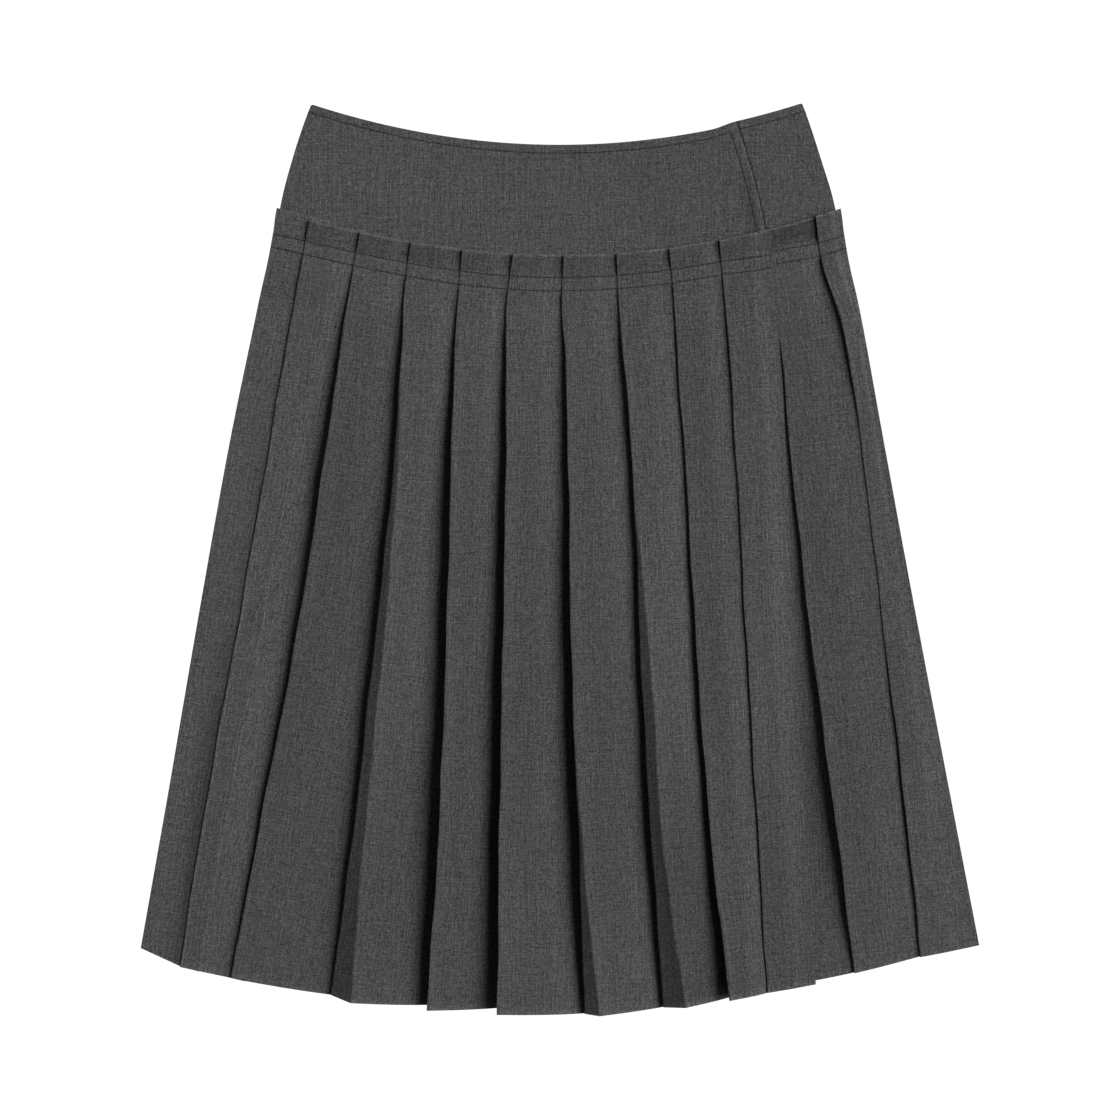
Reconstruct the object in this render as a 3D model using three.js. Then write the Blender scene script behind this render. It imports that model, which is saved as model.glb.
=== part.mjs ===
// A pleated midi wrap skirt of wool suiting, laid flat on a table with its front up. A smooth yoke fits the
// hips, and a knife-pleated skirt is lapped over it and stitched to it below a free-standing pleated heading.
// The front is in two parts: the overlap, which closes on the right, and the underlap beneath its free edge.
// Millimetres: X runs across the skirt, +Y towards the waist, +Z up from the table. The origin is on the
// table, under the middle of the skirt's box.
import * as THREE from "three";

// Driving dimensions
const CLOTH = 1; // wall of every panel
const GAP = 0.3; // air between two pieces, and between the layers of a closed fold
const LAYER = CLOTH + GAP; // from one layer of cloth to the next
const FOLD = 2 * LAYER; // from the lowest layer of a closed fold to its highest
const SHOULDER = 2; // how far past the hidden fold a pleat's face stays high
const TOE = 4; // how far before the next crease a pleat's face has come down
const BACK_RAMP = 12; // length over which a back pleat's face climbs off the table onto the next fold
const BACK_TUCKS = [20, 15]; // how far a back fold runs on under its crease, at the heading and at the hem
const BACK_PLEATS = 11;
const BACK_SHORTER = 6; // how much shorter than the front's hem line the back lies

// Lines across the skirt, which curve up to both sides: height at the middle, and rise at a half width.
const WAIST = { middle: 311.3, rise: 30, halfWidth: 185 };
const HEADING = { middle: 228.5, rise: 35, halfWidth: 211 };
const HEM = { middle: -339, rise: 49, halfWidth: 314 };

// Levels down the pleats, as shares of the way from the heading's top to the hem, and the rows of the wall.
const LEVELS = { heading: 0, stitched: 0.06, seat: 0.15, hip: 0.3, middle: 0.55, low: 0.8, hem: 1 };
const PLEAT_ROWS = [0, 0.03, 0.065, 0.08, 0.13, 0.2, 0.3, 0.42, 0.56, 0.7, 0.85, 1];
const YOKE_END = 0.065; // level where the yokes end under the pleats
const OFF_THE_YOKE = [0.08, 0.13]; // levels between which the pleats come down off the yokes
const CLEAR_OF_THE_LAP = [0.3, 0.42]; // levels between which the overlap's edge comes down off fold 10

// Levels down the yokes, as shares of the way from the waist to their lower edge.
const YOKE_LEVELS = { waist: 0, flank: 0.345, heading: 0.69, lowerEdge: 1 };
const YOKE_ROWS = [0, 0.2, 0.35, 0.5, 0.58, 0.66, 0.8, 1];
const ONTO_THE_HEADING = [0.5, 0.66]; // levels between which the yokes climb onto the back heading

// A table's rows as objects, one value under each column's name.
function table(columns, rows) {
  return rows.map((row) => Object.fromEntries(columns.map((name, i) => [name, row[i]])));
}

// Where each side, edge and crease runs: X at each level. Numbers count the creases from left to right.
const LINE_COLUMNS = ["name", ...Object.keys(LEVELS)];
const LINES = table(LINE_COLUMNS, [
  ["left side", -212, -218, -228, -245, -270, -294, -314],
  ["crease 1", -189, -195, -204, -218, -242, -267, -286],
  ["crease 2", -151, -157, -165, -177, -199, -226, -247.5],
  ["crease 3", -113, -117.5, -120, -126, -141, -157, -173],
  ["crease 4", -74.5, -77.5, -80.5, -83, -87, -93, -101],
  ["crease 5", -36.5, -41, -41.5, -42, -44.5, -47, -48],
  ["crease 6", 1.5, 0, 3, 5, 7.5, 13.5, 17],
  ["crease 7", 41, 42.5, 47, 53.5, 59.5, 68, 76.5],
  ["crease 8", 80.5, 83.5, 87, 93, 101.5, 112.5, 125.5],
  ["crease 9", 118, 121, 125.5, 131, 139, 147.5, 154],
  ["overlap edge", 158.5, 160.5, 164.5, 169.5, 176.5, 184, 192],
  ["underlap edge", 121, 124, 128.5, 134, 142, 150.5, 157],
  ["crease 10", 153, 157, 163.5, 171.5, 187, 205.5, 219.5],
  ["crease 11", 190, 195.5, 210, 223.5, 240.5, 257.5, 269],
  ["right side", 210.5, 216, 226, 241, 266.5, 293, 314.5],
]);

// How each fold lies. tuck: how far it runs on under its crease at the heading, hip, middle, low and hem,
// and less than nothing where the pleat stands open as a ridge. stand: how far the crease stands up at the
// hip and at the hem. drop: how far below the hem line the pleats before and after it end. layers: how many
// layers of the underlap lie beneath it over the yoke, from there to the hip, and below.
const FOLD_COLUMNS = [
  ...["name", "tuckHeading", "tuckHip", "tuckMiddle", "tuckLow", "tuckHem", "standHip", "standHem"],
  ...["dropBefore", "dropAfter", "layersYoke", "layersHip", "layersBelow"],
];
const FOLDS = table(FOLD_COLUMNS, [
  ["left side", 0, 0, 0, 0, 0, 0, 0, 0, 1, 0, 0, 0],
  ["crease 1", 20, 18, 17, 16, 14, 1.5, 3, 5.5, 6, 0, 0, 0],
  ["crease 2", 20, 17, 15, 12, 10, 2, 5, 4.5, 4.5, 0, 0, 0],
  ["crease 3", 20, 9, -5, -8.5, -16.5, 3, 7, 1.5, 4, 0, 0, 0],
  ["crease 4", 20, 17, 15, 13, 11, 5, 9, -0.5, 3, 0, 0, 0],
  ["crease 5", 20, 17, 15, 13, 11, 4, 10, -2, 2, 0, 0, 0],
  ["crease 6", 20, 16, 12, 2, -11, 5, 8, 1, 3.5, 0, 0, 0],
  ["crease 7", 20, 12, -2, -9.5, -16.5, 5, 7, -1, 1, 0, 0, 0],
  ["crease 8", 20, 18, 17, 16, 14, 1.5, 6, -3, -1.5, 1, 0, 0],
  ["crease 9", 20, 18, 17, 16, 15, 0.5, 2, -2.5, -2.5, 1, 1, 1],
  ["overlap edge", 0, 0, 0, 0, 0, 0, 0, -2.5, 0, 1, 3, 1],
  ["underlap edge", 0, 0, 0, 0, 0, 0, 0, 0, -5.5, 0, 0, 0],
  ["crease 10", 20, 17, 16, 15, 13, 0, 7, -5.5, -5, 0, 0, 0],
  ["crease 11", 9, 8, 10, 11, 11, 4, 2, -5.5, -5, 0, 0, 0],
  ["right side", 0, 0, 0, 0, 0, 0, 0, -1, 0, 0, 0, 0],
]);

// Where the yokes' edges run: X at each level.
const YOKE_EDGES = table(["name", ...Object.keys(YOKE_LEVELS)], [
  ["left side", -187, -199.5, -209.5, -213.5],
  ["overlap edge", 132.5, 144.5, 153.5, 156],
  ["underlap edge", 70.5, 82.5, 91.5, 94],
  ["right side", 182.5, 195, 206.5, 211],
]);

// What the overlap's yoke climbs over, measured back from its free edge: where each climb starts and ends.
const CLIMBS = table(["start", "end", "height", "underHeadingOnly"], [
  [76, 66, LAYER, false], // the underlap's yoke
  [45, 35, LAYER, true], // the underlap's first pleat
  [12, 3, FOLD, true], // fold 10
]);

// Heights of the undersides, from the table
const BACK_STACK = CLOTH + FOLD; // the back pleats, lying on their faces
const BACK_YOKE = BACK_STACK + GAP;
const FRONT_YOKE = BACK_YOKE + LAYER;
const FRONT_PLEATS = FRONT_YOKE + LAYER;
const BELOW_THE_YOKES = BACK_STACK + GAP;

const lerp = THREE.MathUtils.lerp;
const named = (rows, name) => rows.find((row) => row.name === name);
const heightOf = (line, x) => line.middle + line.rise * (x / line.halfWidth) ** 2;
const shareBetween = ([start, end], level) => THREE.MathUtils.smoothstep(level, start, end);

// The value at any level of a smooth curve through the values at the named levels.
function follow(levels, values, level) {
  const curve = new THREE.CubicInterpolant(Object.values(levels), values, 1);
  return curve.evaluate(level)[0];
}

// A line's X at a level.
function across(row, levels, level) {
  return follow(levels, Object.keys(levels).map((key) => row[key]), level);
}

// Height on the table plan of a point of the pleats: the hem's steps grow in over the lowest third.
function pleatY(x, level, drop) {
  const lowest = Math.max(0, (level - 0.65) / 0.35);
  return lerp(heightOf(HEADING, x), heightOf(HEM, x), level) - drop * lowest ** 2;
}

// One fold at one level: its crease and hidden fold across, and its lowest and highest layers.
function foldAt(name, level) {
  const line = named(LINES, name);
  const fold = named(FOLDS, name);
  const visible = across(line, LEVELS, level);
  const tucks = [fold.tuckHeading, fold.tuckHip, fold.tuckMiddle, fold.tuckLow, fold.tuckHem];
  const tuck = follow([0, LEVELS.hip, LEVELS.middle, LEVELS.low, LEVELS.hem], tucks, level);
  const stands = [0, 0, fold.standHip, fold.standHem];
  const stand = follow([0, LEVELS.stitched, LEVELS.hip, LEVELS.hem], stands, level);
  const base = lerp(FRONT_PLEATS, BELOW_THE_YOKES, shareBetween(OFF_THE_YOKE, level));
  const layersYoke = fold.layersYoke * (1 - shareBetween(OFF_THE_YOKE, level));
  const layersPleats = lerp(fold.layersHip, fold.layersBelow, shareBetween(CLEAR_OF_THE_LAP, level));
  const low = base + CLOTH / 2 + LAYER * (layersYoke + layersPleats);
  const crease = visible + Math.max(0, -tuck);
  return { crease, hidden: crease + tuck, low, high: low + FOLD + Math.max(0, stand), ...fold };
}

// The middle line of one row of a pleated panel, between two edges, as points across it. Each pleat's face
// runs from its crease down to the next, goes on beneath it to the hidden fold, and comes back to the crease.
function pleatedLine(folds, faceEnd) {
  const last = folds.length - 1;
  const line = [{ x: folds[0].crease, z: folds[0].low, drop: folds[0].dropAfter }];
  for (let i = 0; i < last; i += 1) {
    const fold = folds[i];
    const next = folds[i + 1];
    const top = i ? fold.high : fold.low;
    const { shoulderX, shoulderZ, toeX } = faceEnd(fold, next, i ? FOLD : 0, top);
    const width = next.crease - fold.crease;
    const dropAt = (x) => lerp(fold.dropAfter, next.dropBefore, (x - fold.crease) / width);
    line.push({ x: shoulderX, z: shoulderZ, drop: dropAt(shoulderX) });
    line.push({ x: toeX, z: next.low, drop: dropAt(toeX) });
    if (i + 1 === last) {
      line.push({ x: next.crease, z: next.low, drop: next.dropBefore });
      break;
    }
    line.push({ x: next.hidden, z: next.low, drop: next.dropBefore });
    line.push({ x: next.hidden, z: next.low + LAYER, drop: next.dropBefore });
    line.push({ x: next.crease, z: next.high - LAYER, drop: next.dropAfter });
    line.push({ x: next.crease, z: next.high, drop: next.dropAfter });
  }
  return line;
}

// A front pleat's face slopes all the way from its crease to the next.
function slopingFace(fold, next, foldHeight, top) {
  const visibleNext = Math.min(next.crease, next.hidden);
  const shoulderX = fold.crease + Math.max(0, fold.hidden - fold.crease) + SHOULDER;
  const slope = lerp(top, next.low, (shoulderX - fold.crease) / (visibleNext - fold.crease));
  return { shoulderX, shoulderZ: Math.max(fold.low + foldHeight, slope), toeX: visibleNext - TOE };
}

// A back pleat's face lies flat on the table and climbs onto the next fold in a short ramp.
function flatFace(fold, next, foldHeight, top) {
  return { shoulderX: next.crease - BACK_RAMP, shoulderZ: top, toeX: next.crease - TOE };
}

// Both sides of a wall along a line of points across the skirt, as one ring: over the top, back underneath.
function wallRing(line) {
  const points = line.map(({ x, z }) => new THREE.Vector2(x, z));
  const normals = points.slice(1).map((point, i) => {
    const along = point.clone().sub(points[i]).normalize();
    return new THREE.Vector2(-along.y, along.x);
  });
  const side = (direction) =>
    points.map((point, i) => {
      const before = normals[Math.max(i - 1, 0)];
      const after = normals[Math.min(i, normals.length - 1)];
      const mitre = before.clone().add(after).divideScalar(1 + before.dot(after));
      const moved = point.clone().addScaledVector(mitre, (direction * CLOTH) / 2);
      return new THREE.Vector3(moved.x, line[i].y, moved.y);
    });
  return [...side(1), ...side(-1).reverse()];
}

// A closed wall through a list of rings, from the waist's end to the hem's, with both ends capped.
function wallGeometry(rings) {
  const count = rings[0].length;
  const lastRing = (rings.length - 1) * count;
  const indices = [];
  for (let row = 0; row + 1 < rings.length; row += 1) {
    for (let i = 0; i < count; i += 1) {
      const here = row * count + i;
      const beside = row * count + ((i + 1) % count);
      indices.push(here, here + count, beside, beside, here + count, beside + count);
    }
  }
  for (let i = 0; i + 1 < count / 2; i += 1) {
    const [left, right, lowRight, lowLeft] = [i, i + 1, count - 2 - i, count - 1 - i];
    indices.push(left, right, lowLeft, right, lowRight, lowLeft);
    indices.push(lastRing + left, lastRing + lowLeft, lastRing + right);
    indices.push(lastRing + right, lastRing + lowLeft, lastRing + lowRight);
  }
  const geometry = new THREE.BufferGeometry().setFromPoints(rings.flat());
  geometry.setIndex(indices);
  geometry.computeVertexNormals();
  return geometry;
}

// A front pleated panel through the folds named, from one edge to the other.
function frontPleats(names) {
  const rings = PLEAT_ROWS.map((level) => {
    const line = pleatedLine(names.map((name) => foldAt(name, level)), slopingFace);
    return wallRing(line.map((point) => ({ ...point, y: pleatY(point.x, level, point.drop) })));
  });
  return wallGeometry(rings);
}

// The back's pleats turn the same way round the body, so from above they are the front's turned over: the
// panel is made as a front with even pleats, and then turned half round about Y.
function backPleats() {
  const rings = PLEAT_ROWS.map((level) => {
    const start = -across(named(LINES, "right side"), LEVELS, level);
    const end = -across(named(LINES, "left side"), LEVELS, level);
    const tuck = lerp(...BACK_TUCKS, level);
    const folds = Array.from({ length: BACK_PLEATS + 1 }, (_, i) => {
      const crease = lerp(start, end, i / BACK_PLEATS);
      const low = CLOTH / 2;
      return { crease, hidden: crease + tuck, low, high: low + FOLD, dropBefore: 0, dropAfter: 0 };
    });
    const line = pleatedLine(folds, flatFace);
    return wallRing(line.map((point) => ({ ...point, y: pleatY(point.x, level, -BACK_SHORTER) })));
  });
  return wallGeometry(rings).rotateY(Math.PI).translate(0, 0, BACK_STACK);
}

// One yoke. Its columns are shares of its width, or, less than nothing, distances back from its right edge.
// It drops from its height over the back heading to the table, and climbs over what else lies beneath it.
function yoke(leftName, rightName, underside, columns, climbs = []) {
  const rings = YOKE_ROWS.map((level) => {
    const left = across(named(YOKE_EDGES, leftName), YOKE_LEVELS, level);
    const right = across(named(YOKE_EDGES, rightName), YOKE_LEVELS, level);
    const raised = shareBetween(ONTO_THE_HEADING, level);
    const inner = columns.map((column) => (column < 0 ? right + column : lerp(left, right, column)));
    const xs = [left, ...inner, right];
    const line = xs.map((x) => {
      const climbed = climbs.reduce((total, { start, end, height, underHeadingOnly }) => {
        const share = THREE.MathUtils.clamp((x - right + start) / (start - end), 0, 1);
        return total + share * height * (underHeadingOnly ? raised : 1);
      }, 0);
      const lowerEdge = lerp(heightOf(HEADING, x), heightOf(HEM, x), YOKE_END);
      const z = underside - BACK_YOKE * (1 - raised) + CLOTH / 2 + climbed;
      return { x, y: lerp(heightOf(WAIST, x), lowerEdge, level), z };
    });
    return wallRing(line);
  });
  return wallGeometry(rings);
}

const EVEN_COLUMNS = [1, 2, 3, 4, 5, 6, 7].map((step) => step / 8);
const OVERLAP_COLUMNS = [0.12, 0.24, 0.36, 0.48, 0.6, ...CLIMBS.flatMap(({ start, end }) => [-start, -end])];

const suiting = new THREE.Color(0x4b4b4b);
const skirt = new THREE.Group();

function addPanel(name, geometry) {
  const material = new THREE.MeshStandardMaterial({ color: suiting, roughness: 0.9, metalness: 0 });
  const mesh = new THREE.Mesh(geometry, material);
  mesh.name = name;
  skirt.add(mesh);
}

addPanel("pleats_back", backPleats());
addPanel("yoke_back", yoke("left side", "right side", BACK_YOKE, EVEN_COLUMNS));
addPanel("yoke_underlap", yoke("underlap edge", "right side", FRONT_YOKE, [0.25, 0.5, 0.75]));
addPanel("pleats_underlap", frontPleats(["underlap edge", "crease 10", "crease 11", "right side"]));
addPanel("yoke_overlap", yoke("left side", "overlap edge", FRONT_YOKE, OVERLAP_COLUMNS, CLIMBS));
addPanel(
  "pleats_overlap",
  frontPleats(["left side", ...[1, 2, 3, 4, 5, 6, 7, 8, 9].map((n) => "crease " + n), "overlap edge"]),
);

// Stand the skirt on the table, centred under its own box.
const box = new THREE.Box3().setFromObject(skirt);
const centre = box.getCenter(new THREE.Vector3());
skirt.position.set(-centre.x, -centre.y, -box.min.z);

export default skirt;
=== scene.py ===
"""A pleated midi wrap skirt of charcoal wool suiting, laid flat with its front up.

The cloth is worked out in millimetres in the plan of the flat skirt: X across it, +Y towards the waist,
+Z up from the table. Each piece is moved under the frame and turned to metres as its mesh is made.
"""
import math

import bpy
import numpy as np
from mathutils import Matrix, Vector


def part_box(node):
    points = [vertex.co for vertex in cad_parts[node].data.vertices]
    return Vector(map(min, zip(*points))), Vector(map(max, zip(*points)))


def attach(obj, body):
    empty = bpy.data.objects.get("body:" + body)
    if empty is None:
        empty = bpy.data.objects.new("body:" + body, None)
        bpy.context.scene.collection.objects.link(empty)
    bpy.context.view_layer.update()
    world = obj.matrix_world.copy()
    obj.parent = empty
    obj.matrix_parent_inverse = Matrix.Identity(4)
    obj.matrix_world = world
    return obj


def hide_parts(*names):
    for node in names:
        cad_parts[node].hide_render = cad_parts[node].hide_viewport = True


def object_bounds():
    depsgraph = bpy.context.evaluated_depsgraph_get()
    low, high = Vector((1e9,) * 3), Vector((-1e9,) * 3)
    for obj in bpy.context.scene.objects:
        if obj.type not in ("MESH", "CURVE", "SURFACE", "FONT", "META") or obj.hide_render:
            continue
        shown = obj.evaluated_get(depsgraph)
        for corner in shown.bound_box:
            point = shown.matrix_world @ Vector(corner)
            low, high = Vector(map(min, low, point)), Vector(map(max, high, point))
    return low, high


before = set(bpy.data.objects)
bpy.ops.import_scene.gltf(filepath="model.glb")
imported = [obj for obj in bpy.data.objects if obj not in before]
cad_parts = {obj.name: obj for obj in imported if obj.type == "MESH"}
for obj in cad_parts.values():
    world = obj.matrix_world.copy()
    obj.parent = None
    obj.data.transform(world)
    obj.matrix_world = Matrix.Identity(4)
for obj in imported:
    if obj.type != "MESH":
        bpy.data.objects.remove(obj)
cad_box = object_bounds()


# ---- Camera, light and table ------------------------------------------------------------------------
# The skirt lies face up on a white table and is seen from straight above. One large soft lamp stands to
# its right and a little towards the waist, so that each crease throws its shadow to the left.
CAMERA_HEIGHT = 5.0
VIEW_WIDTH = 0.84
SENSOR = 0.036
LAMP_TOWARDS = (0.75, 0.163, 0.643)
LAMP_SPREAD = 50
LAMP_STRENGTH = 3.95
AMBIENT = 0.085
TABLE_REACH = 14.0
TABLE_GLOW = 1.05
BACKDROP_HEIGHT = 12.0
BACKDROP_GLOW = 1.0


def shadeless(name, strength):
    """A plain white glowing finish for what stands around the skirt."""
    material = bpy.data.materials.new(name)
    material.use_nodes = True
    tree = material.node_tree
    tree.nodes.clear()
    glow = tree.nodes.new("ShaderNodeEmission")
    glow.inputs["Color"].default_value = (1, 1, 1, 1)
    glow.inputs["Strength"].default_value = strength
    output = tree.nodes.new("ShaderNodeOutputMaterial")
    tree.links.new(glow.outputs["Emission"], output.inputs["Surface"])
    return material


def stage_piece(name, corners, faces, material):
    """A part of the surroundings from its corners, which isn't part of the skirt."""
    mesh = bpy.data.meshes.new(name)
    mesh.from_pydata(corners, [], faces)
    mesh.materials.append(material)
    piece = bpy.data.objects.new(name, mesh)
    bpy.context.collection.objects.link(piece)
    return piece


low_corner, high_corner = cad_box
middle = (low_corner + high_corner) / 2
middle.z = 0

camera = bpy.data.objects.new("camera", bpy.data.cameras.new("camera"))
camera.data.sensor_width = SENSOR * 1000
camera.data.lens = SENSOR * 1000 * CAMERA_HEIGHT / VIEW_WIDTH
camera.location = (middle.x, middle.y, CAMERA_HEIGHT)
bpy.context.collection.objects.link(camera)
bpy.context.scene.camera = camera

lamp = bpy.data.objects.new("lamp", bpy.data.lights.new("lamp", "SUN"))
lamp.data.angle = math.radians(LAMP_SPREAD)
lamp.data.energy = LAMP_STRENGTH
lamp.rotation_euler = Vector(LAMP_TOWARDS).to_track_quat("Z", "Y").to_euler()
bpy.context.collection.objects.link(lamp)

world = bpy.data.worlds.new("room")
world.use_nodes = True
world.node_tree.nodes["Background"].inputs["Color"].default_value = (1, 1, 1, 1)
world.node_tree.nodes["Background"].inputs["Strength"].default_value = AMBIENT
bpy.context.scene.world = world
bpy.context.scene.view_settings.view_transform = "Standard"

reach = TABLE_REACH
table_corners = [(-reach, -reach, 0), (reach, -reach, 0), (reach, reach, 0), (-reach, reach, 0)]
stage_piece("table", table_corners, [(0, 1, 2, 3)], shadeless("table_white", TABLE_GLOW))
wall_corners = table_corners + [(x, y, BACKDROP_HEIGHT) for x, y, _ in table_corners]
wall_faces = [(0, 4, 5, 1), (1, 5, 6, 2), (2, 6, 7, 3), (3, 7, 4, 0)]
backdrop = stage_piece("backdrop", wall_corners, wall_faces, shadeless("backdrop_white", BACKDROP_GLOW))
backdrop.visible_diffuse = False
backdrop.visible_glossy = False
backdrop.visible_shadow = False


# ---- The cloth --------------------------------------------------------------------------------------
# Charcoal melange wool suiting, a plain weave of yarns spun from light and dark fibres: the warp runs down
# the skirt and shows as short fine streaks, the weft crosses it with fainter ones. Matt, with a slight sheen;
# its creases and cut edges are painted lighter as a highlight, the creases partly with the paler wear of
# pressing.
CLOTH_COLOUR = (0.0735, 0.0735, 0.0745)
WARP_YARNS = [(0.00095, 0.011, 0.44), (0.00095, 0.040, 0.30)]  # width, length and share of each shade
WEFT_YARNS = [(0.00085, 0.010, 0.36), (0.00085, 0.034, 0.20)]
YARNS_APART = 17  # how far from each other in the noise two yarns lie
SHADES_APART = 101
EVENED_OUT = 0.55  # how much of its neighbour's shade a yarn makes up for
FIBRE_GRAIN = (0.0008, 0.60)  # width and share
CLOUDING = (0.018, 0.03)
MELANGE = 0.80  # how far all these together lighten and darken the cloth
YARN = 0.00045  # from yarn to yarn in the weave's bumps
CROSSING_HEIGHT = 0.35
MELANGE_HEIGHT = 0.4
WEAVE_STRENGTH = 0.55
WEAVE_DEPTH = 0.00012


class Channel:
    """A socket of a material's nodes. Arithmetic on it adds Math nodes and gives the new socket."""

    def __init__(self, tree, socket):
        self.tree = tree
        self.socket = socket

    def node(self, kind, settings=None, sockets=None, output=0):
        """Adds any node: its settings first, then the values or links of its sockets."""
        made = self.tree.nodes.new(kind)
        for name, setting in (settings or {}).items():
            setattr(made, name, setting)
        for name, value in (sockets or {}).items():
            if isinstance(value, Channel):
                self.tree.links.new(value.socket, made.inputs[name])
            else:
                made.inputs[name].default_value = value
        return Channel(self.tree, made.outputs[output])

    def maths(self, operation, first, second=0.0):
        """Adds a Math node."""
        return self.node("ShaderNodeMath", {"operation": operation}, {0: first, 1: second})

    def __add__(self, other):
        return self.maths("ADD", self, other)

    __radd__ = __add__

    def __sub__(self, other):
        return self.maths("SUBTRACT", self, other)

    def __rsub__(self, other):
        return self.maths("SUBTRACT", other, self)

    def __mul__(self, other):
        return self.maths("MULTIPLY", self, other)

    __rmul__ = __mul__

    def __truediv__(self, other):
        return self.maths("DIVIDE", self, other)


def plain_material(name):
    """A new material, its shader, and channels on its UV map's two directions, in metres on the cloth."""
    material = bpy.data.materials.new(name)
    material.use_nodes = True
    tree = material.node_tree
    uv = tree.nodes.new("ShaderNodeUVMap")
    uv.uv_map = "cloth"
    both = Channel(tree, uv.outputs["UV"])
    across, along = [both.node("ShaderNodeSeparateXYZ", {}, {"Vector": both}, output) for output in (0, 1)]
    return material, tree.nodes["Principled BSDF"], both, across, along


def yarn_shades(across, along, width, length, seed):
    """Yarns that lie side by side, each with noise of its own along its length, around 0. A part of its
    neighbour's is taken off it, so that they even out from afar."""
    yarn = across.maths("FLOOR", across / width)
    noises = []
    for neighbour in (0, 1):
        start = (yarn + neighbour) * YARNS_APART + (seed * SHADES_APART + 0.5)
        place = across.node("ShaderNodeCombineXYZ", {}, {"X": start, "Y": along / length})
        noises.append(across.node("ShaderNodeTexNoise", {"noise_dimensions": "2D"}, {
            "Vector": place, "Scale": 1.0, "Detail": 1.0, "Roughness": 0.5,
        }) - 0.5)
    return noises[0] - noises[1] * EVENED_OUT


def suiting_material():
    """The melange: both yarns' shades, the fibres' grain and a slight clouding add up to one grey, and the
    yarns cross as small bumps. An attribute of the mesh then paints light and shade into that grey: how much
    lighter or darker it is made there."""
    material, shader, uv, across, along = plain_material("suiting")
    warp = sum(yarn_shades(across, along, width, length, seed) * share
               for seed, (width, length, share) in enumerate(WARP_YARNS, start=1))
    weft = sum(yarn_shades(along, across, width, length, seed) * share
               for seed, (width, length, share) in enumerate(WEFT_YARNS, start=4))
    cell, grain_share = FIBRE_GRAIN
    cells = uv.node("ShaderNodeCombineXYZ", {}, {
        "X": uv.maths("FLOOR", across / cell), "Y": uv.maths("FLOOR", along / cell),
    })
    grain = uv.node("ShaderNodeTexWhiteNoise", {"noise_dimensions": "2D"}, {"Vector": cells}) - 0.5
    spread, cloud_share = CLOUDING
    clouds = uv.node("ShaderNodeTexNoise", {"noise_dimensions": "2D"}, {
        "Vector": uv, "Scale": 1 / spread, "Detail": 1.0, "Roughness": 0.5,
    }) - 0.5
    melange = warp + weft + grain * grain_share + clouds * cloud_share
    # Painted light and shade: the mesh's attribute makes the colour lighter or darker where light and shade
    # fall.
    painted_light = uv.node("ShaderNodeAttribute", {"attribute_name": "painted_light"}, {}, "Fac")
    lightness = 1 + melange * MELANGE
    shade = lightness * lightness * (1 + painted_light)
    colour = uv.node("ShaderNodeVectorMath", {"operation": "SCALE"}, {0: CLOTH_COLOUR, "Scale": shade})
    uv.tree.links.new(colour.socket, shader.inputs["Base Color"])

    turn = math.pi / YARN
    over = uv.maths("SINE", across * turn) * uv.maths("SINE", along * turn)
    height = over * CROSSING_HEIGHT + melange * MELANGE_HEIGHT
    bump = uv.node("ShaderNodeBump", {}, {
        "Strength": WEAVE_STRENGTH, "Distance": WEAVE_DEPTH, "Height": height,
    })
    uv.tree.links.new(bump.socket, shader.inputs["Normal"])
    shader.inputs["Roughness"].default_value = 0.92
    shader.inputs["Specular IOR Level"].default_value = 0.18
    shader.inputs["Sheen Weight"].default_value = 0.12
    shader.inputs["Sheen Roughness"].default_value = 0.5
    shader.inputs["Sheen Tint"].default_value = (0.6, 0.6, 0.62, 1)
    return material


suiting = suiting_material()


# ---- The back pleats --------------------------------------------------------------------------------
# The back of the skirt: eleven knife pleats of one width of cloth, pressed flat, lying on their outer
# faces on the table. At the top they stand free above two rows of stitching as a short heading.
CLOTH = 0.6  # thickness of the suiting
GAP = 0.25  # air between two layers of it
LAYER = CLOTH + GAP
FOLD = 2 * LAYER
BACK_TUCKS = (20, 15)  # hidden depth of each pleat at the heading and at the hem
BACK_PLEATS = 11
BACK_SHORTER = 6  # how much shorter than the front the back is at the hem
BACK_NARROWER = 1.3  # and how much narrower at each side there
BACK_STACK = CLOTH + FOLD
BACK_YOKE = BACK_STACK + GAP

# Lines across the skirt, which curve up to both sides: height at the middle, rise, and half width.
WAIST = (311.3, 30, 185)
HEADING = (228.5, 35, 211)
HEM = (-339, 49, 314)

# The skirt's two sides: X at each level, which runs from 0 at the heading's edge to 1 at the hem.
LEVELS = [0, 0.06, 0.15, 0.3, 0.55, 0.8, 1]
SIDES = {
    "left side": [-212, -218, -228, -245, -270, -294, -314],
    "right side": [210.5, 216, 226, 241, 266.5, 293, 314.5],
}

STITCHED = (0.030, 0.0475)  # the levels of the two rows of stitching that hold the heading
STITCHED_BAND = (0.010, 0.027, 0.052, 0.13)  # where their flatter curve starts, holds, and ends
ROWS_FLATTER = 7.8  # how much less than the heading's edge they curve up to the sides
ROWS_CROSS = 0.64  # and where they cross its curve, as a share of the half width, squared
PRESSED_BAND = (0.022, 0.030, 0.0475, 0.056)
PRESSED = 0.5  # how much thinner the folds are pressed between those rows
GROOVE = 0.22  # how deep the stitching pulls into the cloth
GROOVE_WIDTH = 0.5
STITCH_PAINTED_SHADE = 0.55  # painted shade: how much darker the cloth's colour is made in the stitching's groove
CREASE_HIGHLIGHT_AND_WEAR = 0.12  # painted highlight, partly the paler wear of pressing: how much lighter the colour is along a crease and the hem
HEADING_EDGE_HIGHLIGHT = 0.3  # painted highlight along the heading's cut edge
HEM_STARTS = 0.65  # the level below which the hem's unevenness shows

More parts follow.
